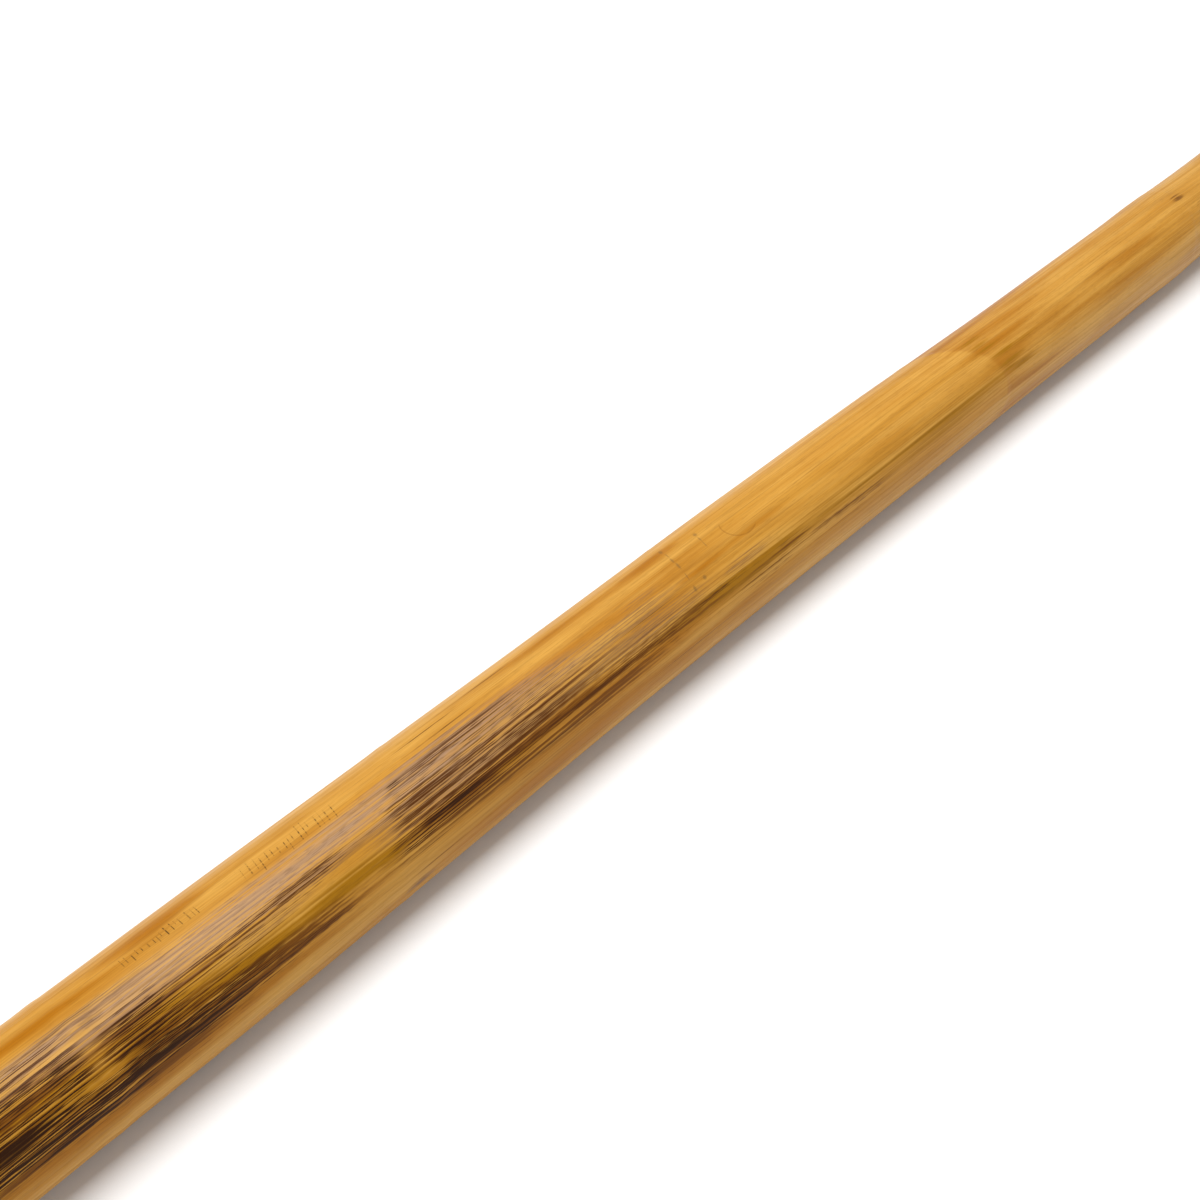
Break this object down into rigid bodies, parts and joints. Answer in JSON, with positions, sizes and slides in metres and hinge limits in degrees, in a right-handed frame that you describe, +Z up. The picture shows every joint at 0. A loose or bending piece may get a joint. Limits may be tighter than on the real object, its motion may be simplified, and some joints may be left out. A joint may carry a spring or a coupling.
{
  "type": "rattan stick",
  "caption": "Straight round rattan stick with faint growth nodes, lacquered, sawn square at both ends, lying on its side; held in the hand for stick drills.",
  "frame": {"origin": "centre of the bounding box on the plane that the stick lies on", "axes": "+X along the stick, +Z up, away from the plane that it lies on"},
  "size_m": [0.711, 0.0296, 0.0284],
  "materials": {
    "lacquered_rattan": "peeled cane with brown stains, under clear gloss lacquer"
  },
  "bodies": {
    "root": {"rattan_stick": "lacquered_rattan"}
  },
  "joints": []
}
